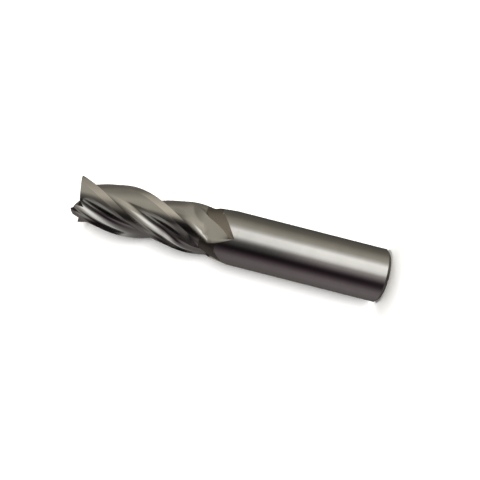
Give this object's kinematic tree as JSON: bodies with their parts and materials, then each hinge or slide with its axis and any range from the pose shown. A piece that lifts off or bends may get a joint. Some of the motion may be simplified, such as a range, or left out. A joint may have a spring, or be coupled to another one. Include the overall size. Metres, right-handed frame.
{
  "type": "four flute end mill",
  "caption": "Solid end mill with a plain round shank, right-hand helical flutes and ground end teeth.",
  "frame": {"origin": "centre of the flat shank end face, on which the tool stands", "axes": "+Z along the tool's axis towards the cutting tip; +X points at the corner of the first end tooth"},
  "size_m": [0.016, 0.016, 0.0915],
  "materials": {
    "ground_steel": "bright ground high speed steel"
  },
  "bodies": {
    "root": {"end_mill": "ground_steel"}
  },
  "joints": []
}
